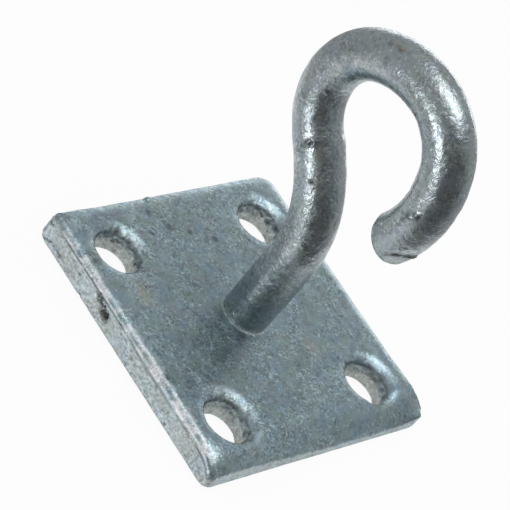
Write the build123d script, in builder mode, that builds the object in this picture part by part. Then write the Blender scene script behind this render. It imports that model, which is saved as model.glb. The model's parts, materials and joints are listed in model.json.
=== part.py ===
from build123d import *
import math
import os

# Hook on plate: a bent round bar, ending in an open hook, riveted into the middle
# of a square plate that has a screw hole near each corner.
# The origin is the centre of the plate's back face, +Z runs out of the wall,
# and the hook is bent in the XZ plane with its point on the +X side.
# All sizes are in millimetres and degrees, over the zinc coat.

# Sizes of the plate
plate_side = 50.0
plate_thickness = 5.2
corner_radius = 2.0
front_edge_roll = 1.4
back_edge_round = 0.3

# Sizes of the punched screw holes, set in from two edges each
screw_edge_distance = 8.5
screw_hole_diameter = 8.0
screw_hole_roll = 1.4

# Sizes of the rivet that joins the bar to the plate
shoulder_width = 0.8
rivet_clearance = 0.05
rivet_head_depth = 1.5
rivet_head_angle = 90.0

# Sizes of the bar and of its bends, measured along the bar's centreline
bar_diameter = 8.1
shank_length = 14.1
neck_radius = 20.0
neck_angle = 47.5
neck_run = 6.8
back_radius = 11.3
back_angle = 100.0
crown_radius = 16.6
crown_angle = 40.0
side_radius = 11.4
side_angle = 62.5
point_radius = 18.3
point_angle = 50.0
tip_round = 0.9

# Sizes that follow from those above
screw_spacing = plate_side - 2 * screw_edge_distance
bar_radius = bar_diameter / 2
spigot_radius = bar_radius - shoulder_width
rivet_bore_radius = spigot_radius + rivet_clearance
rivet_head_flare = rivet_head_depth * math.tan(math.radians(rivet_head_angle / 2))
countersink_radius = rivet_bore_radius + rivet_head_flare
rivet_head_radius = spigot_radius + rivet_head_flare

os.makedirs("parts", exist_ok=True)

# Mounting plate: blanked from strip, so its front edge is rolled over, and so are
# the mouths of the punched holes. The back edges are nearly sharp, and the back of
# the middle hole is countersunk for the rivet.
with BuildPart() as mounting_plate:
    with BuildSketch():
        RectangleRounded(plate_side, plate_side, corner_radius)
    extrude(amount=plate_thickness)
    with GridLocations(screw_spacing, screw_spacing, 2, 2):
        Hole(screw_hole_diameter / 2)
    punched_face = mounting_plate.faces().sort_by(Axis.Z)[-1]
    hole_mouths = [wire.edges() for wire in punched_face.inner_wires()]
    fillet(hole_mouths, screw_hole_roll)
    front_face = mounting_plate.faces().sort_by(Axis.Z)[-1]
    fillet(front_face.outer_wire().edges(), front_edge_roll)
    back_face = mounting_plate.faces().sort_by(Axis.Z)[0]
    fillet(back_face.outer_wire().edges(), back_edge_round)
    with Locations(Plane(origin=(0, 0, 0), z_dir=(0, 0, -1))):
        CounterSinkHole(rivet_bore_radius, countersink_radius, counter_sink_angle=rivet_head_angle)
mounting_plate.part.label = "mounting_plate"
export_step(mounting_plate.part, "parts/mounting_plate.step")

# Hook bar: a straight shank, a neck that leans towards -X, and a loop of four
# tangent arcs that turns back over the plate: tight behind, flatter over the crown,
# tight again at the side, and open towards the point.
with BuildPart() as hook_bar:
    with BuildLine(Plane.XZ) as centreline:
        shank = Line((0, plate_thickness), (0, plate_thickness + shank_length))
        neck = JernArc(shank @ 1, shank % 1, neck_radius, neck_angle)
        lean = PolarLine(neck @ 1, neck_run, direction=neck % 1)
        back = JernArc(lean @ 1, lean % 1, back_radius, -back_angle)
        crown = JernArc(back @ 1, back % 1, crown_radius, -crown_angle)
        side = JernArc(crown @ 1, crown % 1, side_radius, -side_angle)
        point = JernArc(side @ 1, side % 1, point_radius, -point_angle)
    with BuildSketch(Plane.XY.offset(plate_thickness)):
        Circle(bar_radius)
    sweep(path=centreline.line)
    tip_face = hook_bar.faces().filter_by(GeomType.PLANE).sort_by_distance(point @ 1)[0]
    fillet(tip_face.edges(), tip_round)
    # Rivet: a turned-down spigot that fills the plate's bore, with its end hammered
    # flush into the countersink.
    with BuildSketch(Plane.XZ):
        with BuildLine():
            Polyline(
                (0, 0),
                (rivet_head_radius, 0),
                (spigot_radius, rivet_head_depth),
                (spigot_radius, plate_thickness),
                (0, plate_thickness),
                close=True,
            )
        make_face()
    revolve(axis=Axis.Z)
hook_bar.part.label = "hook_bar"
export_step(hook_bar.part, "parts/hook_bar.step")

bar_length = sum(edge.length for edge in centreline.edges())
print("length of the bent bar", round(bar_length, 2), "centre of its tip", point @ 1)
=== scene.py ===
# %% [markdown]
# # A zinc-dipped hook on a plate
#
# The real thing is two pieces of steel. A square plate is punched with four screw holes, and a
# round bar is bent to an open hook and, in this model, riveted into the plate's middle. Both are
# dipped in molten zinc, which leaves a blue-grey, mottled and slightly lumpy skin over everything.
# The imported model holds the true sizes, so this lesson loads it, reads what it needs from it,
# and makes a finer skin for each of the two solids.

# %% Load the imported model
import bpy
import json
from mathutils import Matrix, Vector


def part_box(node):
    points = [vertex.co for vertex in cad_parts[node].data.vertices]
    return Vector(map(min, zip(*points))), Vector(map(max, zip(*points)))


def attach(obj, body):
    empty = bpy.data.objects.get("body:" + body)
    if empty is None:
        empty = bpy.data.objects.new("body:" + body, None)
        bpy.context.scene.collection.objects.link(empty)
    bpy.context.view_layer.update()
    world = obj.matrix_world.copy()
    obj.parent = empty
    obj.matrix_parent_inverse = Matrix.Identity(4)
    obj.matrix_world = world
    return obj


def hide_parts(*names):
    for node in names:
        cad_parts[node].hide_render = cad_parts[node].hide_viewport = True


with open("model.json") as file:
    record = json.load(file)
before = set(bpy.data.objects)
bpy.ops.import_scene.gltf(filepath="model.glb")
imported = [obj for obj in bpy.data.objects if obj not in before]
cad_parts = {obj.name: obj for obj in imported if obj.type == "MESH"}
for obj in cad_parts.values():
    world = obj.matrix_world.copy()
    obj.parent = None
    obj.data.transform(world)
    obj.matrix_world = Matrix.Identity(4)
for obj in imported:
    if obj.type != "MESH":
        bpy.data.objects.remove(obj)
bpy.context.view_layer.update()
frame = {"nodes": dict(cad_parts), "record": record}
print("solids:", sorted(frame["nodes"]))

# %% [markdown]
# ## Sizes
# Blender works in metres here, but a part this small is easier to think about in millimetres.
# The meshes below are therefore shaped in millimetres and scaled down once, at the end.
# The plate's sizes come from its solid and the hole pattern from the record's mount.

# %% Read the plate's sizes
import json
import math
import bpy
import numpy as np
from mathutils import Matrix, Quaternion, Vector, noise

mm = 0.001
plate_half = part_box("mounting_plate")[1].x / mm
plate_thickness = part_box("mounting_plate")[1].z / mm
mounts = {mount["name"]: mount for mount in frame["record"]["mounts"]}
hole_spacing = mounts["screw_holes"]["dims"]["spacing_x_mm"]
hole_radius = mounts["screw_holes"]["dims"]["hole_r_mm"]
print(f"plate {2 * plate_half:.1f} mm square and {plate_thickness:.1f} mm thick")
print(f"holes {2 * hole_radius:.1f} mm wide and {hole_spacing} mm apart")

# %% [markdown]
# ## Camera
# The photograph was taken with a long lens, about 37 degrees above the plate, and the plate lies
# askew in the picture. A camera needs a place, a direction and a roll about that direction.
# Turning the upright camera about its own viewing axis gives the roll.

# %% Place the camera
camera_aim = Vector((-1.078, -9.252, 21.281)) * mm
camera_distance = 432.154 * mm
camera_azimuth = math.radians(24.794)
camera_elevation = math.radians(37.334)
camera_roll = math.radians(40.491)

towards_camera = Vector((
    math.sin(camera_azimuth) * math.cos(camera_elevation),
    -math.cos(camera_azimuth) * math.cos(camera_elevation),
    math.sin(camera_elevation),
))
camera = bpy.data.objects.new("camera", bpy.data.cameras.new("camera"))
bpy.context.scene.collection.objects.link(camera)
camera.data.lens = 198.08
camera.data.clip_start = 0.01
camera.rotation_mode = "QUATERNION"
camera.location = camera_aim + towards_camera * camera_distance
upright = (-towards_camera).to_track_quat("-Z", "Y")
camera.rotation_quaternion = Quaternion(towards_camera, camera_roll) @ upright
bpy.context.scene.camera = camera
print("camera at", [round(value / mm) for value in camera.location], "mm")

# %% [markdown]
# ## Random lumps, pits and marks
# Molten zinc drains and freezes unevenly, so its surface is never flat. A few small helpers
# describe that: smooth lumps of a chosen size, scattered round pits, and single marks or grooves at
# a place that the photograph shows. Each gives one number for each point of a mesh. Fractal noise
# and Voronoi cells from Blender's own noise module give the same result on every run.

# %% Helpers for the zinc's relief
def share(values):
    """The values, held between 0 and 1."""
    return np.clip(values, 0, 1)


def ramp(values, start, end):
    """0 before start, 1 past end, and a straight slope between them."""
    return share((values - start) / (end - start))


def lumps(points, size, octaves=2, shift=0.0):
    """Smooth random heights, about -1 to 1, with lumps of this size."""
    places = (points / size + shift).tolist()
    return np.array([noise.fractal(place, 1.0, 2.0, octaves) for place in places])


def round_off(away):
    """1 at the middle of a mark, falling smoothly to 0 where away reaches 1."""
    return share(1 - away ** 2) ** 2


def scattered_pits(points, spacing, width, shift=0.0):
    """1 in the middle of each of many scattered pits, 0 between them."""
    places = (points / spacing + shift).tolist()
    nearest = np.array([noise.voronoi(place)[0][0] for place in places])
    return round_off(nearest * spacing / (width / 2))


def mark(points, centre, radii):
    """1 in the middle of one mark, 0 outside its radii along X, Y and Z."""
    return round_off(np.linalg.norm((points - np.array(centre)) / np.array(radii), axis=1))


def groove(points, places, width):
    """1 along a line through these places, 0 beyond its width."""
    nearest = np.full(len(points), np.inf)
    for start, end in zip(np.array(places[:-1]), np.array(places[1:])):
        run = end - start
        along = share((points - start) @ run / (run @ run))
        away = np.linalg.norm(points - start - along[:, None] * run, axis=1)
        nearest = np.minimum(nearest, away)
    return round_off(nearest / width)


# %% [markdown]
# ## Reading and writing a mesh
# Moving a hundred thousand vertices one by one in Python is slow. The calls foreach_get and
# foreach_set copy them all to a numpy array and back, and everything between is plain arithmetic.

# %% Helpers for vertices
def read_points(mesh):
    """The vertices of a mesh as an array of points."""
    flat = np.empty(len(mesh.vertices) * 3, np.float32)
    mesh.vertices.foreach_get("co", flat)
    return flat.reshape(-1, 3).astype(float)


def write_points(mesh, points):
    """Moves the vertices of a mesh to these points."""
    mesh.vertices.foreach_set("co", points.astype(np.float32).ravel())
    mesh.update()


def read_normals(mesh):
    """The smooth normal at each vertex of a mesh."""
    flat = np.empty(len(mesh.vertices) * 3, np.float32)
    mesh.vertex_normals.foreach_get("vector", flat)
    return flat.reshape(-1, 3).astype(float)


def write_shade(mesh, name, amounts):
    """Stores one number from 0 to 1 at each vertex, for the material to read."""
    attribute = mesh.attributes.new(name, "FLOAT", "POINT")
    attribute.data.foreach_set("value", share(amounts).astype(np.float32))


# %% [markdown]
# ## The plate, with an even skin
# The solid has large flat triangles, which can't carry lumps. A Remesh modifier in voxel mode
# covers a copy of it with small even squares, as a sculptor would do. The grain is as fine as the
# triangle budget allows, so that later steps can shape edges and relief with real geometry.

# %% Cover the plate with small squares
plate_grain = 0.27

plate_mesh = frame["nodes"]["mounting_plate"].data.copy()
plate_mesh.transform(Matrix.Scale(1 / mm, 4))
plate = bpy.data.objects.new("mounting_plate_skin", plate_mesh)
bpy.context.scene.collection.objects.link(plate)
even_grain = plate.modifiers.new("even grain", "REMESH")
even_grain.mode = "VOXEL"
even_grain.voxel_size = plate_grain
plate_view = plate.evaluated_get(bpy.context.evaluated_depsgraph_get())
plate.data = bpy.data.meshes.new_from_object(plate_view)
plate.modifiers.clear()
plate_points = read_points(plate.data)
print("plate skin:", len(plate_points), "vertices")

# %% [markdown]
# ## The plate's true edges
# A punched plate has a soft front edge: the metal is drawn down over a few millimetres and then
# turns sharply into the side. This plate is drawn down most along its lower edge. Its left edge is
# a tight roll that opens to a soft lower corner, where the photograph has its brightest glint.
# A bevel would give all edges one width, so each edge gets its own drop, the width over which it
# falls, and a power that says how late it falls.

# %% Sizes of the edges, in millimetres
corner_rounds = {"upper left": 0.4, "upper right": 3.1, "lower left": 0.6, "lower right": 0.5}
upper_draw = {"drop": 0.8, "across": 2.6, "power": 2.0}
right_draw = {"drop": 0.65, "across": 2.6, "power": 2.0}
lower_draw = {"drop": 3.6, "across": 5.0, "power": 1.4}
roll_drop = 1.05
roll_deeper = 0.5
roll_end = 0.9
roll_across = 1.3
glint_drop = 1.0
glint_across = 3.4
crease_round = 0.25
back_round = 0.1
print("the front falls", lower_draw["drop"], "mm at the lower edge and", roll_drop, "mm at the left")

# %% Outline of the plate
def outline_depth(points):
    """How far inside the plate's outline each point lies, seen from the front."""
    x, y = points[:, 0], points[:, 1]
    upper = np.where(y < 0, corner_rounds["upper left"], corner_rounds["upper right"])
    lower = np.where(y < 0, corner_rounds["lower left"], corner_rounds["lower right"])
    corner = np.where(x < 0, upper, lower)
    past_x = np.abs(x) - (plate_half - corner)
    past_y = np.abs(y) - (plate_half - corner)
    outside = np.hypot(np.maximum(past_x, 0), np.maximum(past_y, 0))
    return corner - outside - np.minimum(np.maximum(past_x, past_y), 0)


# %% [markdown]
# ## Screw holes
# The metal is drawn down round each hole as well. The mouths are softer on one side, perhaps where
# the zinc drained, which makes the holes look a little shifted. A hole is a distance from its
# centre, so this is again plain arithmetic, and the softer side is one bearing.

# %% Holes and their mouths
mouth_draw = {"drop": 1.1, "across": 2.2, "power": 2.0}
mouth_near_share = 0.4
mouth_taper = 0.35
taper_from = 2.4
taper_to = 4.4
hole_drift_x = 0.55
hole_drift_y = -0.4
drain_bearing = math.radians(115)
hole_centres = [
    (hole_drift_x + side_x * hole_spacing / 2, hole_drift_y + side_y * hole_spacing / 2)
    for side_x in (-1, 1)
    for side_y in (-1, 1)
]


def mouth_depth(points):
    """How far outside the nearest hole each point lies, and 1 on the side that it drained to."""
    away = np.array([np.hypot(points[:, 0] - x, points[:, 1] - y) for x, y in hole_centres])
    nearest = away.argmin(axis=0)
    away = away.min(axis=0)
    from_centre = points[:, :2] - np.array(hole_centres)[nearest]
    drain_way = np.array((math.cos(drain_bearing), math.sin(drain_bearing)))
    far_share = 0.5 + 0.5 * (from_centre @ drain_way) / np.maximum(away, 0.1)
    return away - hole_radius, far_share


print("hole centres:", [tuple(round(value, 2) for value in centre) for centre in hole_centres])

# %% [markdown]
# ## One form from all edges
# Where two edges meet, their draws simply add up. The whole plate is written as one distance that is
# zero on its surface and below zero inside. A few Newton steps then pull every vertex of the even
# skin onto that surface, which keeps the squares small and regular, as no boolean would.

# %% Height of the front face
def drawn_down(inside, drop, across, power):
    """How far the front is drawn down at this distance inside an edge."""
    return drop * share(1 - inside / across) ** power


def left_roll(points):
    """How far the front rolls down to the left edge: tight, with a soft lower corner."""
    x, inside = points[:, 0], points[:, 1] + plate_half
    drop = roll_drop + roll_deeper * ramp(x, -1, 3) + roll_end * ramp(x, -21, -25)
    softened = ramp(x, 18.5, 21.5)
    outward = np.clip(1 - inside / (roll_across * (1 - 0.5 * softened)), 0, 0.985)
    tight = (drop - glint_drop * softened) * (1 - np.sqrt(1 - outward ** 2))
    return tight + softened * drawn_down(inside, glint_drop, glint_across, 2.0)


def front_level(points):
    """The height of the front face above each point, drawn down towards the plate's edges."""
    x, y = points[:, 0], points[:, 1]
    upper_share = 1 - 0.7 * ramp(y, -16, -23)
    right_share = 1 - 0.7 * ramp(x, 13, 21)
    lower_share = 1 - 0.36 * ramp(y, 4, -16) - 0.55 * ramp(y, 18.5, 25) ** 2
    lower_power = lower_draw["power"] + 0.8 * ramp(y, -8, -20)
    level = plate_thickness - upper_share * drawn_down(x + plate_half, **upper_draw)
    level -= right_share * drawn_down(plate_half - y, **right_draw)
    level -= left_roll(points)
    level -= lower_share * drawn_down(plate_half - x, lower_draw["drop"], lower_draw["across"], lower_power)
    return level


# %% Form of the whole plate
def rounded_corner(first, second, radius):
    """Zero on a rounded corner between two faces, from the depth behind each of them."""
    past_first = radius - first
    past_second = radius - second
    outside = np.hypot(np.maximum(past_first, 0), np.maximum(past_second, 0))
    return outside + np.minimum(np.maximum(past_first, past_second), 0) - radius


def plate_form(points, wander):
    """Zero on the plate's surface, below zero inside it. The outline wanders by a little."""
    z = points[:, 2]
    at_edge = outline_depth(points) - wander
    at_mouth, far_share = mouth_depth(points)
    at_mouth -= mouth_taper * far_share * ramp(z, taper_from, taper_to)
    inside = np.minimum(at_edge, at_mouth)
    mouth_share = mouth_near_share + (1 - mouth_near_share) * far_share
    front = front_level(points) - mouth_share * drawn_down(at_mouth, **mouth_draw)
    front_form = rounded_corner(inside, front - z, crease_round)
    back_form = rounded_corner(inside, z, back_round)
    return np.maximum(front_form, back_form)


# %% Pull the skin onto that profile
rivet_seat = 5.4
bore_seat = 3.9
newton_steps = 12
probe = 0.01
longest_step = 0.3

off_axis = np.hypot(plate_points[:, 0], plate_points[:, 1])
at_back = plate_points[:, 2] < plate_thickness / 2
is_free = np.where(at_back, off_axis > rivet_seat, off_axis > bore_seat)
flat_places = plate_points * np.array((1, 1, 0))
wander = np.maximum(0.06 * lumps(flat_places, 9.0), 0)
for _ in range(newton_steps):
    value = plate_form(plate_points, wander)
    slope = np.stack(
        [(plate_form(plate_points + probe * axis, wander) - value) / probe for axis in np.eye(3)],
        axis=1,
    )
    move = slope * (value / np.maximum((slope ** 2).sum(axis=1), 0.05))[:, None]
    length = np.maximum(np.linalg.norm(move, axis=1), 1e-9)
    move *= np.minimum(1, longest_step / length)[:, None]
    plate_points -= move * is_free[:, None]
write_points(plate.data, plate_points)
left_over = np.abs(plate_form(plate_points, wander))[is_free].max()
print(f"plate form reached to {left_over:.3f}")

# %% [markdown]
# ## Zinc on the plate
# The relief is added along the normals: broad swells where the zinc ran, lumps, a fine grain, and
# pits where gas or ash was trapped. Sheared sides are rougher than the rolled faces, some mouths of
# the holes are crumpled, and the back is kept smooth, because it lies against a wall. Real vertices
# move, so that the outline and the exported mesh show the relief as well.

# %% Raise the zinc's relief
normals = read_normals(plate.data)
plate_x, plate_y, plate_z = plate_points.T
off_axis = np.hypot(plate_x, plate_y)
on_side = share(1.3 - 1.6 * np.abs(normals[:, 2]))
on_back = share(-normals[:, 2])
swells = lumps(plate_points, 8.0)
small_lumps = lumps(plate_points, 2.4, shift=7.0)
side_lumps = lumps(plate_points, 1.4, shift=11.0)
grain = lumps(plate_points, 0.85, shift=3.0)
ash_clouds = share(3 * lumps(plate_points, 6.0, shift=31.0))
ash_pits = scattered_pits(plate_points, 1.5, 0.8, shift=5.0) * ash_clouds
gas_pits = scattered_pits(plate_points, 4.5, 0.9) * np.clip(3 * swells, 0.15, 1)
relief = 0.04 * swells + 0.018 * small_lumps + 0.022 * grain
relief += on_side * (0.05 * side_lumps + 0.03 * small_lumps)
relief -= 0.12 * gas_pits + 0.05 * ash_pits
print(f"even relief from {relief.min():.2f} to {relief.max():.2f} mm")

# %% Crumple the mouths of the holes
beyond_mouth, far_share = mouth_depth(plate_points)
near_hole = off_axis > 8
near_mouth = share(1 - np.abs(beyond_mouth - 0.3) / 1.2) * near_hole
crumples = lumps(plate_points, 0.9, shift=61.0)
left_mouths = np.where(plate_x < 0, 1.0, 0.55)
right_mouths = np.where(plate_x < 0, 0.9, 0.25)
mouth_roughness = np.where(plate_y < 0, left_mouths, right_mouths)
relief += near_mouth * mouth_roughness * (0.05 + 0.17 * far_share) * crumples
relief *= 1 - 0.7 * on_back
print(f"with crumpled mouths from {relief.min():.2f} to {relief.max():.2f} mm")

# %% [markdown]
# ## Marks on the plate
# The photograph shows one plate, with marks of its own: a torn pit and a crack in the left side,
# a bead of zinc on the upper edge, a dark crease where the left roll meets the side. A random pattern
# would never put them there, so each has a named place in millimetres. A mark that is multiplied by
# lumps gets a ragged edge, as torn metal has.

# %% Torn places in the left side
torn = share(0.6 + 1.6 * lumps(plate_points, 0.9, shift=5.0))
shreds = share(0.5 + 2.6 * lumps(plate_points, 0.55, shift=25.0))
torn_pit = share(1.7 * mark(plate_points, (-6.8, -25.0, 2.4), (2.1, 1.6, 1.35)))
torn_pit *= share(shreds + 0.3)
torn_edge = share(1.6 * mark(plate_points, (-8.8, -25.0, 3.1), (2.8, 1.6, 1.4))) * shreds
streak_line = [(-9.8, -25.0, 3.7), (-8.2, -25.0, 3.2), (-7.0, -25.0, 2.6)]
torn_streak = share(2 * groove(plate_points, streak_line, 1.0))
torn_streak *= share(0.35 + 3.5 * lumps(plate_points, 0.62, shift=29.0))
crack_start = [(-24.4, -25.0, 0.1), (-23.5, -25.0, 0.3), (-23.2, -25.0, 0.8), (-22.5, -25.0, 0.8)]
crack_finish = [(-22.1, -25.0, 1.3), (-21.3, -25.0, 1.15), (-20.8, -25.0, 1.5)]
corner_crack = groove(plate_points, crack_start + crack_finish, 0.26)
corner_crack *= np.clip(0.9 + 1.5 * lumps(plate_points, 0.7, shift=15.0), 0.2, 1)
crack_end = groove(plate_points, [(-20.2, -25.0, 1.25), (-18.6, -25.0, 1.1)], 0.4) * torn
print("torn places reach", int((torn_pit + torn_edge + torn_streak > 0.1).sum()), "vertices")

# %% Pits, beads and spots
side_pit_places = [(-14.6, -25.0, 2.6), (-12.4, -25.0, 0.3), (13.0, -25.0, 0.6)]
side_pits = sum(mark(plate_points, place, (0.5, 0.7, 0.45)) for place in side_pit_places)
edge_pit_places = [(7.8, -24.5, 4.1), (10.8, -24.4, 4.2)]
edge_pits = sum(mark(plate_points, place, (0.55, 0.6, 0.6)) for place in edge_pit_places)
zinc_run = mark(plate_points, (0.2, -24.6, 4.0), (2.4, 1.6, 2.2))
edge_bead = mark(plate_points, (-24.4, -4.1, 4.6), (0.7, 0.7, 0.9))
edge_lump = mark(plate_points, (24.4, 3.0, 2.9), (0.9, 1.2, 1.0))
dark_patch = mark(plate_points, (-21.7, -6.3, 5.0), (1.1, 0.9, 1.0))
spots_on_face = [(-18.2, -4.0, 1.05), (-14.3, 3.8, 0.85), (-16.7, -0.5, 0.65), (-17.7, -8.3, 0.65)]
dark_spots = sum(
    share(2.5 * mark(plate_points, (x, y, 5.2), (size, 0.9 * size, 1.0)))
    for x, y, size in spots_on_face
)
side_specks = scattered_pits(plate_points, 1.15, 0.52, shift=8.0) * on_side * (1 - on_back)
print(len(side_pit_places) + len(edge_pit_places), "pits and", len(spots_on_face), "dark spots")

# %% Crease under the left roll
along_left = plate_points * np.array((1, 0, 0)) - np.array((0, plate_half, 0))
below_crease = front_level(along_left) - plate_z
crease_line = np.exp(-((below_crease - 0.15) / 0.2) ** 2) * (plate_y < 0.8 - plate_half)
crease_line *= np.clip(0.9 + 0.9 * small_lumps, 0.2, 1)

# %% Sink and raise the marks
relief -= 0.55 * torn_pit + 0.35 * np.maximum(torn_edge, torn_streak)
relief -= 0.35 * np.maximum(corner_crack, crack_end)
relief -= 0.3 * share(side_pits) + 0.4 * edge_pits
relief += 0.5 * edge_bead + 0.25 * edge_lump - 0.06 * dark_patch - 0.03 * dark_spots
relief += zinc_run * (0.12 + 0.2 * side_lumps) - 0.08 * crease_line - 0.06 * side_specks
print(f"with the marks from {relief.min():.2f} to {relief.max():.2f} mm")

# %% [markdown]
# ## Collar round the bar's foot
# Zinc creeps into the seam between bar and plate and freezes there as a thin ring, thicker on
# one side, where it later gets a painted highlight as well. It is a narrow hill in the distance from
# the bar's axis. The moved vertices are then held inside the solid's box, because the skin may not
# outgrow the part.

# %% Raise the collar and move the vertices
collar_radius = 4.2
collar_width = 0.2
collar_bearing = math.radians(-58)
on_front = normals[:, 2] > 0.7
bearing = np.arctan2(plate_y, plate_x)
collar_arc = np.clip(1.6 * np.cos(bearing - collar_bearing) + 0.2, 0.1, 1)
collar_uneven = np.clip(0.8 + 0.8 * lumps(plate_points, 1.3, shift=2.0), 0.2, 1.3)
collar = np.exp(-((off_axis - collar_radius) / collar_width) ** 2) * on_front
relief += 0.13 * collar * collar_arc * collar_uneven

plate_points += normals * relief[:, None]
plate_points[:, :2] = np.clip(plate_points[:, :2], -plate_half, plate_half)
plate_points[:, 2] = np.maximum(plate_points[:, 2], 0)
write_points(plate.data, plate_points)
print(f"plate relief from {relief.min():.2f} to {relief.max():.2f} mm")

# %% [markdown]
# ## Shades for the plate
# One material covers the whole plate, so it has to be told where the dirt, the tan stains, the
# darkened places, the worn zinc and the painted highlights and sheen are. An image would need
# unwrapping. Here each vertex stores one number for each of these shades, and the material reads
# them back by name.

# %% Dirt and painted shade on the plate
in_mouth = share(1 - mouth_depth(plate_points)[0] / 1.0) * near_hole
deep_in_mouth = in_mouth * ramp(plate_z, 3.2, 2.4)
upper_wall = in_mouth * ramp(plate_z, 2.2, 3.0) * ramp(plate_z, 4.6, 4.2)
wall_lumps = lumps(plate_points, 0.9, shift=41.0)
# Painted shade on the walls of the holes, deeper on their upper part.
hole_wall_shade = in_mouth * np.clip(0.12 + 0.7 * wall_lumps, 0, 0.6)
hole_wall_shade += upper_wall * np.clip(0.14 + 0.3 * crumples, 0, 0.6)
specks_in_mouth = [(-20.0, -14.3, 0.75), (-19.6, -12.6, 0.4), (-18.6, -11.6, 0.35), (-20.2, -16.4, 0.35)]
hole_specks = sum(
    share(1.6 * mark(plate_points, (x, y, 4.6), (size, size, 1.0)))
    for x, y, size in specks_in_mouth
)
near_hole_ash = mark(plate_points, (-15.5, -22.5, 5.2), (1.6, 2.2, 2.0)) * torn
outer_side = on_side * (1 - on_back)
# The outer sides are darkened in mottled patches.
fine_mottle = lumps(plate_points, 0.5, shift=91.0)
side_darkening = outer_side * np.clip(0.14 + 0.5 * fine_mottle + 0.5 * side_lumps * small_lumps, 0, 0.5)
torn_dirt = [torn_pit, 0.85 * torn_edge, 0.9 * torn_streak, corner_crack, crack_end]
pit_dirt = [side_pits, edge_pits, 0.6 * side_specks, 0.6 * gas_pits, 0.35 * ash_pits]
spot_dirt = [0.55 * dark_patch, 0.5 * dark_spots, 0.8 * hole_specks, 0.8 * near_hole_ash]
# Darkening: the crease line, the painted shade in the holes and the mottled outer sides.
darkening = [0.85 * crease_line, hole_wall_shade, side_darkening]
plate_dirt_and_shade = np.maximum.reduce(torn_dirt + pit_dirt + spot_dirt + darkening)
write_shade(plate.data, "dirt_and_shade", plate_dirt_and_shade)
print(f"dirt covers {100 * plate_dirt_and_shade.mean():.1f} % of the plate")

# %% Stains on the plate
from_left = plate_y + plate_half
on_left_side = outer_side * (from_left < 0.6)
on_lower_side = outer_side * (plate_x > plate_half - 0.6)
tan_streak = mark(plate_points, (-7.2, -17.8, 5.2), (4.5, 1.6, 2.0))
tan_edge = mark(plate_points, (-23.2, -1.2, 5.0), (1.5, 4.0, 1.5)) * torn
green_patch = mark(plate_points, (8.5, 8.8, 5.2), (3.5, 2.5, 2.0))
plate_stain = 0.5 * deep_in_mouth + 0.65 * tan_streak + 0.4 * green_patch + 0.6 * tan_edge
plate_stain += 0.15 * on_lower_side
plate_stain += on_left_side * np.clip(0.08 + 0.45 * lumps(plate_points, 3.5, shift=71.0), 0, 0.35)
write_shade(plate.data, "stain", plate_stain)
write_shade(plate.data, "rust", np.zeros(len(plate_points)))
print(f"stains cover {100 * plate_stain.mean():.1f} % of the plate")

# %% Bright band along the left roll
# Brighter zinc along the left roll, with a painted highlight over it.
uneven_width = from_left * (1 + 0.6 * lumps(plate_points, 1.8, shift=81.0))
left_band = share(-below_crease / 0.12) * ramp(uneven_width, 1.8, 0.4) ** 1.3
left_band *= (normals[:, 2] > 0.12) * ramp(plate_x, -23, -20) * ramp(plate_x, 23, 21)
left_band *= 0.85 + 0.15 * ramp(plate_x, 0, 4)
band_breaks = round_off(np.abs(plate_x + 17) / 1.4) + round_off(np.abs(plate_x + 4) / 0.9)
left_band *= share(0.7 + 1.5 * lumps(plate_points, 2.2, shift=51.0))
left_band *= (1 - zinc_run) * (1 - band_breaks)
print("left band:", int((left_band > 0.5).sum()), "bright vertices")

# %% Bright and pale places on the plate
# Painted highlights: a glint at the lower left corner, the far lips of the holes, the left side face, the
# upper walls of the holes and one side of the collar.
corner_glint = mark(plate_points, (22.3, -23.6, 3.9), (1.6, 1.4, 1.3))
bright_lips = share(1 - np.abs(beyond_mouth - 0.7) / 0.8) * far_share ** 2
bright_lips *= (normals[:, 2] > 0.3) * near_hole * share(0.55 + 1.3 * crumples)
left_holes = np.where(plate_y < 0, 1.0, 0.3)
# These painted highlights are stored together with the worn zinc of the left band.
on_edges = [left_band, 0.35 * corner_glint, 0.3 * on_left_side]
on_holes = [0.45 * bright_lips * left_holes, 0.3 * upper_wall, 0.7 * collar * collar_arc]
write_shade(plate.data, "wear_and_sheen", np.maximum.reduce(on_edges + on_holes))

# Paler towards the upper and side edges: a painted sheen.
pale_width = 15
pale_sides = share(1 - (plate_half - np.abs(plate_y)) / pale_width) * ramp(plate_x, 20, 12)
pale_top = share(1 - (plate_x + plate_half) / pale_width)
pale_tone_and_sheen = 0.95 * np.maximum(pale_top, pale_sides)
write_shade(plate.data, "pale_tone_and_sheen", pale_tone_and_sheen)
print(f"paleness {pale_tone_and_sheen.mean():.2f} on average")

# %% [markdown]
# ## The bar's centreline
# The hook is one bar, bent in one plane. Along such a bar the heading changes evenly within
# each bend and not at all on a straight run, so the heading at any distance is a simple
# interpolation, and adding up small steps in that direction gives the curve. The bend sizes are
# the same as in the solid.

# %% Bend the centreline
bar_radius = 4.05
shank_length = 14.1
neck_run = 6.8
neck = {"radius": 20.0, "turn": -47.5}
back = {"radius": 11.3, "turn": 100.0}
crown = {"radius": 16.6, "turn": 40.0}
side = {"radius": 11.4, "turn": 62.5}
point = {"radius": 18.3, "turn": 50.0}


def bend(radius, turn):
    """The length of bar in one bend, and the degrees that it turns."""
    return radius * math.radians(abs(turn)), turn


stretches = [(shank_length, 0.0), bend(**neck), (neck_run, 0.0)]
stretches += [bend(**back), bend(**crown), bend(**side), bend(**point)]
stations = np.cumsum([0.0] + [length for length, turn in stretches])
headings = np.radians(np.cumsum([0.0] + [turn for length, turn in stretches]))
bar_length = stations[-1]
fine_run = np.linspace(0, bar_length, 8001)
fine_heading = np.interp(fine_run, stations, headings)
fine_step = fine_run[1]


def add_up(slopes):
    """The running sum of a slope along the bar, by the middle of each small step."""
    return np.concatenate(([0.0], np.cumsum((slopes[1:] + slopes[:-1]) / 2) * fine_step))


fine_x = add_up(np.sin(fine_heading))
fine_z = plate_thickness + add_up(np.cos(fine_heading))

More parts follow.
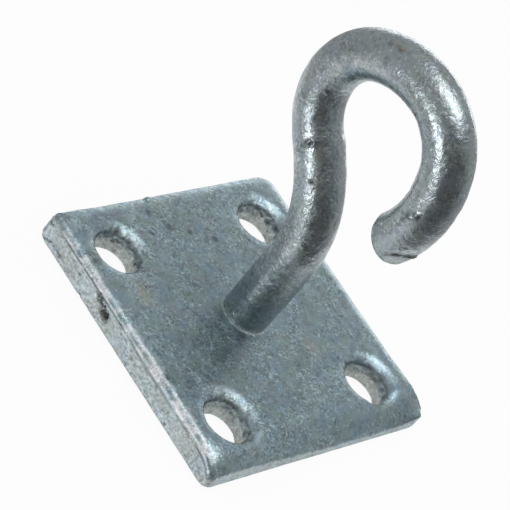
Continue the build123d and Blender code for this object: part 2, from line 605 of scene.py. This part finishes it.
# %% [markdown]
# ## The bar's skin
# A sweep is a stack of rings. Each ring has a place along the centreline and a radius, so the
# hammered rivet head behind the plate, its shank through the plate, the shoulder on the front and
# the bar up to its cut end are all one profile. Points of the profile are spread evenly, and
# neighbouring rings are joined by squares. A single point closes each end.

# %% Profile of the bar, from the rivet head to the tip
ring_spacing = 0.2
ring_count = 128
tip_round = 0.5
shoulder_round = 0.1

rivet_back = -plate_thickness
rivet_profile = [
    (rivet_back + 0.08, 0.3),
    (rivet_back + 0.08, 4.3),
    (rivet_back + 0.14, 4.55),
    (rivet_back + 0.30, 4.68),
    (rivet_back + 0.45, 4.55),
    (rivet_back + 1.5, 3.25),
    (-0.02, 3.25),
    (0.0, 3.3),
    (0.0, bar_radius - shoulder_round),
]
quarter = np.linspace(0, math.pi / 2, 5)
shoulder_profile = [
    (shoulder_round * (1 - math.cos(turn)), bar_radius - shoulder_round * (1 - math.sin(turn)))
    for turn in quarter[1:]
]
tip_profile = [
    (bar_length - tip_round * (1 - math.sin(turn)), bar_radius - tip_round * (1 - math.cos(turn)))
    for turn in quarter
]
profile = np.array(rivet_profile + shoulder_profile + tip_profile + [(bar_length, 0.3)])
profile_run = np.concatenate(([0.0], np.cumsum(np.linalg.norm(np.diff(profile, axis=0), axis=1))))
even_run = np.linspace(0, profile_run[-1], round(profile_run[-1] / ring_spacing))
ring_run = np.interp(even_run, profile_run, profile[:, 0])
ring_radius = np.interp(even_run, profile_run, profile[:, 1])
print(len(ring_run), "rings of", ring_count, "points")

# %% Sweep the profile along the centreline
ring_heading = np.interp(ring_run, stations, headings)
below_front = np.minimum(ring_run, 0)
centre_x = np.interp(ring_run, fine_run, fine_x)
centre_z = np.interp(ring_run, fine_run, fine_z) + below_front
turns = np.linspace(0, 2 * math.pi, ring_count, endpoint=False)
inward = np.outer(ring_radius, np.cos(turns))
sideways = np.outer(ring_radius, np.sin(turns))
ring_points = np.stack(
    [
        centre_x[:, None] + inward * np.cos(ring_heading)[:, None],
        sideways,
        centre_z[:, None] - inward * np.sin(ring_heading)[:, None],
    ],
    axis=2,
)
rivet_pole = (0.0, 0.0, 0.08)
tip_pole = (fine_x[-1], 0.0, fine_z[-1])
hook_points = np.vstack([ring_points.reshape(-1, 3), rivet_pole, tip_pole])

# %% Join the rings
corner = np.arange(len(ring_run) - 1)[:, None] * ring_count + np.arange(ring_count)
beside = np.arange(len(ring_run) - 1)[:, None] * ring_count + (np.arange(ring_count) + 1) % ring_count
squares = np.stack([corner, corner + ring_count, beside + ring_count, beside], axis=2).reshape(-1, 4)
first_ring = np.arange(ring_count)
next_along = (first_ring + 1) % ring_count
last_ring = (len(ring_run) - 1) * ring_count
rivet_fan = [(len(hook_points) - 2, a, b) for a, b in zip(first_ring.tolist(), next_along.tolist())]
tip_fan = [
    (len(hook_points) - 1, last_ring + b, last_ring + a)
    for a, b in zip(first_ring.tolist(), next_along.tolist())
]
hook_mesh = bpy.data.meshes.new("hook_bar_skin")
hook_mesh.from_pydata(hook_points.tolist(), [], squares.tolist() + rivet_fan + tip_fan)
hook_mesh.update()
hook = bpy.data.objects.new("hook_bar_skin", hook_mesh)
bpy.context.scene.collection.objects.link(hook)
print("bar skin:", len(hook_points), "vertices")

# %% [markdown]
# ## Zinc on the bar
# The bar gets the same kinds of relief as the plate, a little stronger, because zinc hangs in drips
# on a round bar. Its own faults come next: a nick across the back, past which the bar swells and
# steps sideways a little, a black pit, and a rough patch near the point.

# %% Raise the bar's relief
hook_normals = read_normals(hook_mesh)
run_of_point = np.append(np.repeat(ring_run, ring_count), (-plate_thickness, bar_length))
on_bar = share(run_of_point / 0.8)
on_rivet_face = (run_of_point < rivet_back + 0.2).astype(float)
bar_swells = lumps(hook_points, 8.0, shift=21.0)
bar_lumps = lumps(hook_points, 2.6, shift=13.0)
bar_wrinkles = lumps(hook_points, 1.5, shift=19.0)
bar_grain = lumps(hook_points, 0.9, shift=17.0)
bar_pits = scattered_pits(hook_points, 5.0, 0.8, shift=4.0) * np.clip(3 * bar_swells, 0.1, 1)
ash_on_bar = share(3 * lumps(hook_points, 7.0, shift=37.0))
bar_ash = scattered_pits(hook_points, 1.4, 0.75, shift=6.0) * ash_on_bar
hook_relief = 0.05 * bar_swells + 0.03 * bar_lumps + 0.025 * bar_wrinkles + 0.025 * bar_grain - 0.04
hook_relief -= 0.12 * bar_pits + 0.05 * bar_ash
hook_relief *= on_bar
hook_relief += on_rivet_face * (0.05 * bar_lumps - 0.02)
print(f"even relief on the bar from {hook_relief.min():.2f} to {hook_relief.max():.2f} mm")

# %% Marks that the photograph shows on the bar
bar_torn = share(0.6 + 1.6 * lumps(hook_points, 0.8, shift=9.0))
nick_line = [(-9.9, -3.7, 35.9), (-9.3, -4.0, 37.1), (-8.7, -3.6, 38.6), (-8.5, -3.05, 39.5)]
nick_middle = np.array((-9.0, -4.0, 37.7))
nick = groove(hook_points, nick_line, 0.75) * bar_torn
past_nick = run_of_point - run_of_point[np.argmin(np.linalg.norm(hook_points - nick_middle, axis=1))]
swollen = ramp(past_nick, 0, 1.2) * ramp(past_nick, 16, 4)
black_pit = mark(hook_points, (-4.5, -3.8, 34.1), (0.42, 0.5, 0.42))
rough_patch = groove(hook_points, [(11.0, -4.0, 44.9), (12.4, -4.0, 46.9)], 0.95) * bar_torn
point_bead = mark(hook_points, (8.3, -2.0, 47.0), (0.9, 1.6, 1.1))
print("nick at", round(bar_length - past_nick.max(), 1), "mm along the bar")

# %% Colours that the photograph shows on the bar
rust_spot = groove(hook_points, [(-9.5, -2.5, 60.2), (-7.6, -2.5, 61.2)], 0.8) * bar_torn
brown_patch = mark(hook_points, (-6.3, -2.7, 38.0), (1.9, 1.6, 1.9))
tan_flank = mark(hook_points, (-16.6, -3.6, 45.6), (2.4, 2.4, 3.0)) * bar_torn
# Painted reflections: a highlight band on the crown, a highlight streak down the shank, a shade stripe on
# one side of it and a paler stripe on the other.
crown_start = [(-15.0, -4, 48.0), (-13.0, -4, 52.9), (-10.6, -4, 55.2)]
crown_finish = [(-7.9, -4, 57.3), (-4.9, -4, 58.4)]
crown_reflection = groove(hook_points, crown_start + crown_finish, 1.7)
streak_places = [(0.9, -3.95, 11.0), (0.5, -4.0, 15.0), (0.1, -4.0, 24.0)]
shank_highlight = groove(hook_points, streak_places, 0.85)
shank_shade_places = [(3.1, -2.6, 5.5), (2.9, -2.8, 12.0), (2.7, -2.9, 18.0), (2.4, -3.0, 24.5)]
shank_shade = groove(hook_points, shank_shade_places, 2.0)
shank_pale_reflection = groove(hook_points, [(-2.4, -3.3, 7.5), (-2.2, -3.4, 18.0)], 1.9)

# %% Move the bar's vertices
crown_thinning = 0.09 * ramp(hook_points[:, 2], 58, 62)
hook_relief += 0.09 * swollen + 0.3 * point_bead - crown_thinning
hook_relief -= 0.4 * black_pit + 0.28 * rough_patch + 0.22 * nick
hook_points += hook_normals * hook_relief[:, None]
above_nick = ramp(past_nick, 0, 0.8) * ramp(past_nick, 10, 2)
below_nick = ramp(past_nick, 0, -0.8) * ramp(past_nick, -9, -2)
hook_points[:, 1] += 0.08 * below_nick - 0.14 * above_nick
print(f"bar relief from {hook_relief.min():.2f} to {hook_relief.max():.2f} mm")

# %% [markdown]
# ## The sheared tip
# The bar looks cut off with a shear: its end bulges a little and stands askew, its inner rim is
# worn away, and its lower side is flat, with a thin lip of metal folded up beside it.
# Each of these is a push along one direction, as far as a plane or a distance from the axis says.

# %% Cut the tip askew and wear its rim
near_tip = run_of_point > bar_length - 6
near_side = np.array((0.0, -1.0, 0.0))
tip_along = np.array((math.sin(headings[-1]), 0.0, math.cos(headings[-1])))
tip_inner = np.array((math.cos(headings[-1]), 0.0, -math.sin(headings[-1])))
from_tip = hook_points - np.array(tip_pole)
off_tip_axis = np.linalg.norm(from_tip - np.outer(from_tip @ tip_along, tip_along), axis=1)
end_bulge = 0.28 * share(1 - (off_tip_axis / bar_radius) ** 2)
end_bulge *= run_of_point > bar_length - 0.5
hook_points += end_bulge[:, None] * tip_along
shear = -0.3 + 0.55 * (from_tip @ near_side) / bar_radius - 0.3 * (from_tip @ tip_inner) / bar_radius
shear *= ramp(run_of_point, bar_length - 3, bar_length)
hook_points += shear[:, None] * tip_along
from_tip = hook_points - np.array(tip_pole)
worn_normal = 0.64 * tip_inner + 0.35 * near_side + 0.68 * tip_along
worn_level = 0.73 * bar_radius - 0.5
past_worn = np.maximum(from_tip @ worn_normal - worn_level, 0) * near_tip
hook_points -= 0.85 * past_worn[:, None] * worn_normal
print(f"rim worn by up to {past_worn.max():.2f} mm")

# %% Flatten the lower side of the tip and fold its lip
flat_normal = np.array((0.8508, -0.4297, -0.3026))
flat_level = 0.98
lip_start = [(12.4, -3.2, 37.6), (13.2, -3.0, 38.4), (14.2, -1.9, 38.6)]
lip_finish = [(14.7, -0.7, 39.0), (15.0, 0.3, 39.3)]
fold_line = np.array(lip_start + lip_finish)
lip_line = fold_line + np.array((0.35, 0.0, 0.6))
hook_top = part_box("hook_bar")[1].z / mm

past_flat = np.maximum(hook_points @ flat_normal - flat_level, 0) * near_tip
hook_points -= past_flat[:, None] * flat_normal
fold = groove(hook_points, fold_line, 0.4) * near_tip
lip = groove(hook_points, lip_line, 0.6) * near_tip
hook_points += hook_normals * (0.16 * lip - 0.22 * fold)[:, None]
hook_points[:, 2] = np.clip(hook_points[:, 2], 0, hook_top)
write_points(hook_mesh, hook_points)
print(f"lower side flattened by up to {past_flat.max():.2f} mm")

# %% [markdown]
# ## Shades for the bar
# The bar stores the same five shades. Its pits are dirty, its fold is darkened, its lip is brighter,
# and the crown has specks of rust. The band on its crown and the stripes on its shank are painted
# reflections: highlights on the crown and down the shank, with a painted shade stripe and a paler
# stripe beside them. These lamps don't give them, so they are painted on, and other views show them
# in the same place.

# %% Dirt, stains and painted reflections on the bar
pits_on_bar = [black_pit, 0.6 * on_bar * bar_pits, 0.35 * on_bar * bar_ash]
# The last entry here is the painted shade stripe on the shank.
marks_on_bar = [0.7 * rough_patch, 0.7 * nick, 0.6 * fold, 0.23 * on_bar * shank_shade]
hook_dirt_and_shade = np.maximum.reduce(pits_on_bar + marks_on_bar)
# Painted highlights on the crown and shank, broken up by lumps and grain.
highlight_breakup = share(0.6 + 0.8 * bar_lumps + 0.8 * bar_grain)
bar_highlights = np.maximum(crown_reflection, shank_highlight) * highlight_breakup
# A paler tone all over the bar, plus the painted reflections on the crown and shank.
write_shade(hook_mesh, "pale_tone_and_sheen", 0.2 + 0.6 * crown_reflection + 0.8 * shank_pale_reflection - 0.2 * shank_shade)
write_shade(hook_mesh, "wear_and_sheen", np.maximum(0.3 * lip, 0.32 * bar_highlights))
write_shade(hook_mesh, "dirt_and_shade", hook_dirt_and_shade)
write_shade(hook_mesh, "stain", 0.4 * brown_patch + 0.4 * tan_flank)
write_shade(hook_mesh, "rust", 0.7 * rust_spot)
print(f"dirt covers {100 * hook_dirt_and_shade.mean():.1f} % of the bar")

# %% [markdown]
# ## From millimetres to metres
# Both skins now have their final shape, so they are scaled to Blender's metres and shaded smooth.

# %% Scale the skins
for piece in (plate, hook):
    piece.data.transform(Matrix.Scale(mm, 4))
    piece.data.shade_smooth()
    piece.data.update()
    print(piece.name, len(piece.data.polygons), "faces")

# %% [markdown]
# ## The zinc finish
# Hot-dip zinc is a metal with a dull blue-grey skin. Its colour shifts in soft patches, its gloss
# changes from crystal to crystal, and a fine grain breaks every highlight into flecks. A metallic
# surface with noise in its colour, roughness and bump gives all three. The shades stored on the
# meshes add dirt, stains and rust, and painted highlights, sheen and shade as well.

# %% Helper for nodes
def add_node(tree, kind, inputs=None, **settings):
    """Adds one node. An input takes a value, or the output of another node to be linked to it."""
    made = tree.nodes.new(kind)
    for name, value in settings.items():
        setattr(made, name, value)
    for name, value in (inputs or {}).items():
        if isinstance(value, bpy.types.NodeSocket):
            tree.links.new(value, made.inputs[name])
        else:
            made.inputs[name].default_value = value
    return made


def blend_colours(tree, amount, first, second):
    """Mixes two colours by an amount from 0 to 1."""
    inputs = {0: amount, 6: first, 7: second}
    return add_node(tree, "ShaderNodeMix", inputs, data_type="RGBA").outputs[2]


def spread(tree, value, low, high, to_low, to_high):
    """Maps a value between low and high to a new range, and clamps it there."""
    inputs = {0: value, 1: low, 2: high, 3: to_low, 4: to_high}
    return add_node(tree, "ShaderNodeMapRange", inputs).outputs[0]


# %% Helpers for patterns
def soft_noise(tree, place, size, detail, roughness=0.5, shift=0.0, distortion=0.0):
    """A cloudy pattern from 0 to 1, with clouds of this size in millimetres."""
    inputs = {"Vector": place, "W": shift, "Scale": 1 / size, "Detail": detail}
    inputs.update({"Roughness": roughness, "Distortion": distortion})
    return add_node(tree, "ShaderNodeTexNoise", inputs, noise_dimensions="4D").outputs["Fac"]


def cells(tree, place, size, output, shift=0.0, feature="F1"):
    """A pattern of cells of this size: the distance inside each, or a random colour for each."""
    inputs = {"Vector": place, "W": shift, "Scale": 1 / size}
    settings = {"voronoi_dimensions": "4D", "feature": feature}
    return add_node(tree, "ShaderNodeTexVoronoi", inputs, **settings).outputs[output]


def stored(tree, name):
    """One of the shades that are stored on the mesh."""
    return add_node(tree, "ShaderNodeAttribute", attribute_name=name).outputs["Fac"]


def both(tree, first, second):
    """The product of two patterns: strong only where both are."""
    return add_node(tree, "ShaderNodeMath", {0: first, 1: second}, operation="MULTIPLY").outputs[0]


# %% Sizes of the zinc's patterns, in millimetres
patch_size = 6.0
grain_size = 0.42
wrinkle_size = 1.1
fleck_size = 1.0
speck_size = 0.85
dot_size = 1.3
crystal_size = 1.7


def zinc_patterns(tree):
    """The random patterns that the zinc's colour, gloss and bump share, by name."""
    metres = add_node(tree, "ShaderNodeTexCoord").outputs["Object"]
    to_mm = {0: metres, "Scale": 1 / mm}
    place = add_node(tree, "ShaderNodeVectorMath", to_mm, operation="SCALE").outputs[0]
    return {
        "patches": soft_noise(tree, place, patch_size, 4.0),
        "hues": soft_noise(tree, place, patch_size * 0.5, 3.0, shift=3.0),
        "greens": soft_noise(tree, place, patch_size * 0.45, 3.0, shift=5.0),
        "blotches": soft_noise(tree, place, grain_size * 2.2, 3.0, shift=7.0),
        "grain": soft_noise(tree, place, grain_size, 3.0, 0.6),
        "wrinkles": soft_noise(tree, place, wrinkle_size, 3.0, 0.5, shift=9.0, distortion=1.2),
        "breaks": soft_noise(tree, place, fleck_size * 0.7, 2.0, shift=11.0),
        "clusters": soft_noise(tree, place, patch_size * 0.6, 2.0, shift=13.0),
        "seams": cells(tree, place, fleck_size, "Distance", feature="DISTANCE_TO_EDGE"),
        "specks": cells(tree, place, speck_size, "Distance", shift=2.0),
        "dots": cells(tree, place, dot_size, "Distance", shift=4.0),
        "crystals": cells(tree, place, crystal_size, "Color"),
    }


# %% Tones of the zinc
plate_tones = {
    "dark": (0.260, 0.355, 0.390, 1),
    "pale": (0.425, 0.552, 0.598, 1),
    "warm": (0.345, 0.410, 0.445, 1),
    "green": (0.325, 0.440, 0.440, 1),
    "blue": (0.305, 0.415, 0.490, 1),
    "fleck": (0.600, 0.780, 0.850, 1),
}
bar_tones = {
    "dark": (0.317, 0.371, 0.392, 1),
    "pale": (0.440, 0.502, 0.526, 1),
    "warm": (0.418, 0.448, 0.464, 1),
    "green": (0.390, 0.463, 0.453, 1),
    "blue": (0.390, 0.447, 0.496, 1),
    "fleck": (0.750, 0.784, 0.806, 1),
}
grain_dark = (0.145, 0.172, 0.182, 1)
# Worn zinc and painted highlights share this white; dirt and painted shade share the black below.
wear_and_sheen_white = (0.90, 0.915, 0.945, 1)
dirt_and_shade_black = (0.045, 0.045, 0.042, 1)
tan_stain = (0.47, 0.45, 0.38, 1)
rust_brown = (0.20, 0.145, 0.095, 1)
print("tones:", ", ".join(plate_tones))

# %% [markdown]
# ## Colour, gloss and bump
# The colour is built up in thin coats, each mixed over the last by one pattern: soft patches of tone
# and hue, then grain, bright strokes and dots, dark specks, and last the stored shades. Worn zinc and
# painted highlights, stored together, are brighter but duller, as scratched zinc is. The bump only
# carries what is finer than the mesh.

# %% Colour of the zinc
def zinc_colour(tree, pattern, tones, grain_tone):
    """Mottled zinc, with the stored shades over it."""
    def shade(name, *limits):
        return spread(tree, pattern[name], *limits)

    uneven = shade("patches", 0.35, 0.65, -0.2, 0.8)
    tone_inputs = {0: uneven, 1: stored(tree, "pale_tone_and_sheen")}
    tone = add_node(tree, "ShaderNodeMath", tone_inputs, use_clamp=True).outputs[0]
    colour = blend_colours(tree, tone, tones["dark"], tones["pale"])

    warmer = shade("hues", 0.45, 0.62, 0.0, 1.0)
    greener = shade("greens", 0.5, 0.63, 0.0, 1.0)
    bluer = shade("greens", 0.37, 0.5, 1.0, 0.0)
    blotched = shade("blotches", 0.3, 0.5, 0.5, 0.0)
    grain_zone = shade("clusters", 0.42, 0.58, 0.2, 1.0)
    dark_grain = both(tree, grain_zone, shade("grain", 0.3, 0.48, grain_tone, 0.0))
    pale_grain = both(tree, grain_zone, shade("grain", 0.52, 0.7, 0.0, grain_tone))
    on_seam = shade("seams", 0.04, 0.12, 0.8, 0.0)
    stroke = both(tree, on_seam, shade("breaks", 0.6, 0.68, 0.0, 1.0))
    on_dot = shade("dots", 0.1, 0.2, 0.9, 0.0)
    dot = both(tree, on_dot, shade("hues", 0.5, 0.56, 0.0, 1.0))
    on_speck = shade("specks", 0.12, 0.22, 0.7, 0.0)
    speck = both(tree, on_speck, shade("clusters", 0.5, 0.62, 0.0, 1.0))
    wear_and_sheen = both(tree, stored(tree, "wear_and_sheen"), shade("grain", 0.35, 0.5, 0.35, 1.0))

    coats = [(warmer, tones["warm"]), (greener, tones["green"]), (bluer, tones["blue"])]
    coats += [(blotched, grain_dark), (dark_grain, grain_dark), (pale_grain, tones["fleck"])]
    coats += [(stroke, tones["fleck"]), (dot, tones["fleck"]), (speck, grain_dark)]
    coats += [(wear_and_sheen, wear_and_sheen_white), (stored(tree, "stain"), tan_stain)]
    coats += [(stored(tree, "rust"), rust_brown), (stored(tree, "dirt_and_shade"), dirt_and_shade_black)]
    for amount, coat in coats:
        colour = blend_colours(tree, amount, colour, coat)
    return colour


# %% Gloss and bump of the zinc
wear_and_sheen_gloss = 0.62
wrinkle_height = 0.2 * mm
grain_height = 0.1 * mm


def zinc_gloss(tree, pattern, gloss_range):
    """Roughness that changes from crystal to crystal, and is high where wear and painted highlights are
    stored.
    """
    gloss = spread(tree, pattern["crystals"], 0.0, 1.0, *gloss_range)
    inputs = {0: stored(tree, "wear_and_sheen"), 2: gloss, 3: wear_and_sheen_gloss}
    return add_node(tree, "ShaderNodeMix", inputs).outputs[0]


def zinc_bump(tree, pattern, wrinkle_relief, grain_relief):
    """Wrinkles of the zinc skin, and a fine grain on them that comes and goes."""
    wrinkles = {"Strength": wrinkle_relief, "Distance": wrinkle_height, "Height": pattern["wrinkles"]}
    wrinkled = add_node(tree, "ShaderNodeBump", wrinkles).outputs["Normal"]
    strength = spread(tree, pattern["clusters"], 0.42, 0.58, 0.35 * grain_relief, grain_relief)
    grain = {"Strength": strength, "Distance": grain_height, "Height": pattern["grain"]}
    grain["Normal"] = wrinkled
    return add_node(tree, "ShaderNodeBump", grain).outputs["Normal"]


# %% [markdown]
# ## Two zincs
# In the photograph the plate is bluer and grainier, and the bar greyer and glossier. One recipe with
# different tones, grain and gloss makes both.

# %% Make the zinc and put it on
def make_zinc(name, tones, grain_tone, grain_relief, wrinkle_relief, gloss_range):
    """Dull, mottled zinc in these tones."""
    material = bpy.data.materials.new(name)
    material.use_nodes = True
    tree = material.node_tree
    shader = tree.nodes["Principled BSDF"]
    shader.inputs["Metallic"].default_value = 1.0
    pattern = zinc_patterns(tree)
    tree.links.new(zinc_colour(tree, pattern, tones, grain_tone), shader.inputs["Base Color"])
    tree.links.new(zinc_gloss(tree, pattern, gloss_range), shader.inputs["Roughness"])
    tree.links.new(zinc_bump(tree, pattern, wrinkle_relief, grain_relief), shader.inputs["Normal"])
    return material


plate_finish = {"grain_tone": 1.0, "grain_relief": 0.9, "wrinkle_relief": 0.35, "gloss_range": (0.30, 0.44)}
bar_finish = {"grain_tone": 0.6, "grain_relief": 0.55, "wrinkle_relief": 0.6, "gloss_range": (0.25, 0.38)}
plate_zinc = make_zinc("plate_zinc", plate_tones, **plate_finish)
bar_zinc = make_zinc("bar_zinc", bar_tones, **bar_finish)
for piece, finish in ((plate, plate_zinc), (hook, bar_zinc)):
    piece.data.materials.clear()
    piece.data.materials.append(finish)
    print(piece.name, "has", finish.name, "with", len(finish.node_tree.nodes), "nodes")

# %% [markdown]
# ## White floor
# The photograph stands on pure white. The floor is a white card, just large enough to fill the
# picture, because a larger one would put reflections on the hook that the photograph doesn't have.
# To rays that see it, directly or in a reflection, it mostly glows at strength 1, which is white, and
# Light Path keeps that glow from lighting the object. The rest of it is matt paint, for the shadow.

# %% Lay the floor
card_corners = [(24, -80), (56, 38), (-66, 146), (-84, -6)]
floor_glow = 0.93

floor_mesh = bpy.data.meshes.new("floor")
floor_mesh.from_pydata([(x * mm, y * mm, 0) for x, y in card_corners], [], [(0, 1, 2, 3)])
floor = bpy.data.objects.new("floor", floor_mesh)
floor.location.z = -0.1 * mm
bpy.context.scene.collection.objects.link(floor)
white_card = bpy.data.materials.new("white_card")
white_card.use_nodes = True
card_tree = white_card.node_tree
card_tree.nodes.clear()
rays = add_node(card_tree, "ShaderNodeLightPath").outputs
in_view = rays["Is Camera Ray"]
for kind in ("Is Glossy Ray", "Is Transmission Ray"):
    either = {0: in_view, 1: rays[kind]}
    in_view = add_node(card_tree, "ShaderNodeMath", either, operation="MAXIMUM").outputs[0]
glow_share = both(card_tree, in_view, floor_glow)
paint = add_node(card_tree, "ShaderNodeBsdfDiffuse", {"Color": (0.95, 0.95, 0.95, 1)}).outputs[0]
glow = add_node(card_tree, "ShaderNodeEmission", {"Strength": 1.0}).outputs[0]
card = add_node(card_tree, "ShaderNodeMixShader", {0: glow_share, 1: paint, 2: glow}).outputs[0]
add_node(card_tree, "ShaderNodeOutputMaterial", {"Surface": card})
floor_mesh.materials.append(white_card)
print("floor:", [round(size / mm) for size in floor.dimensions.xy], "mm")

# %% [markdown]
# ## Studio light
# Metal shows what stands around it. The photograph's highlights tell of a broad light overhead,
# a bright wall low behind the hook, a light low in front and a dark room to the camera's right.
# Area lamps make the lights. The world is a plain grey room, darker on that one side.

# %% Hang the lamps
def hang_lamp(name, azimuth, elevation, distance, width, height, brightness):
    """A soft lamp that looks at the object. Blender spreads its power over four times its area."""
    lamp = bpy.data.lights.new(name, "AREA")
    lamp.shape = "RECTANGLE"
    lamp.size = width
    lamp.size_y = height
    lamp.energy = 4 * width * height * brightness
    holder = bpy.data.objects.new(name, lamp)
    turn, rise = math.radians(azimuth), math.radians(elevation)
    outward = Vector((math.sin(turn) * math.cos(rise), -math.cos(turn) * math.cos(rise), math.sin(rise)))
    target = Vector((0, 0, 30 * mm))
    holder.location = target + outward * distance
    holder.rotation_mode = "QUATERNION"
    holder.rotation_quaternion = (-outward).to_track_quat("-Z", "Y")
    holder.visible_camera = False
    bpy.context.scene.collection.objects.link(holder)
    return holder


overhead = {"azimuth": 110, "elevation": 84, "distance": 0.6, "width": 0.45, "height": 0.45}
in_front = {"azimuth": 0, "elevation": -4, "distance": 0.35, "width": 0.12, "height": 0.1}
low_wall = {"azimuth": 204, "elevation": -2, "distance": 0.7, "width": 0.65, "height": 0.2}
hang_lamp("overhead_lamp", brightness=1.9, **overhead)
hang_lamp("front_lamp", brightness=4.6, **in_front)
hang_lamp("wall_lamp", brightness=1.8, **low_wall)

# %% Shade the room
room_world = bpy.data.worlds.new("grey_room")
bpy.context.scene.world = room_world
room_world.use_nodes = True
room = room_world.node_tree
room.nodes.clear()
direction = add_node(room, "ShaderNodeTexCoord").outputs["Generated"]
dark_azimuth = math.radians(68)
dark_side = Vector((math.sin(dark_azimuth), -math.cos(dark_azimuth), 0.0))
light_level = 0.47
dark_level = 0.135
compare = {0: direction, 1: dark_side}
facing_dark = add_node(room, "ShaderNodeVectorMath", compare, operation="DOT_PRODUCT").outputs["Value"]
room_level = spread(room, facing_dark, 0.3, 0.88, light_level, dark_level)
grey_room = add_node(room, "ShaderNodeBackground", {"Color": (1, 1, 1, 1), "Strength": room_level})
add_node(room, "ShaderNodeOutputWorld", {"Surface": grey_room.outputs[0]})
bpy.context.scene.view_settings.view_transform = "Standard"
print("lamps:", [lamp.name for lamp in bpy.data.lights])

# %% [markdown]
# ## Skins in place of the solids
# Each skin stands for its solid and rides on the one body of this part, and the solid is hidden.

# %% Tie the skins to the solids
for piece, node in ((plate, "mounting_plate"), (hook, "hook_bar")):
    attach(piece, "root")
    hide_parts(node)
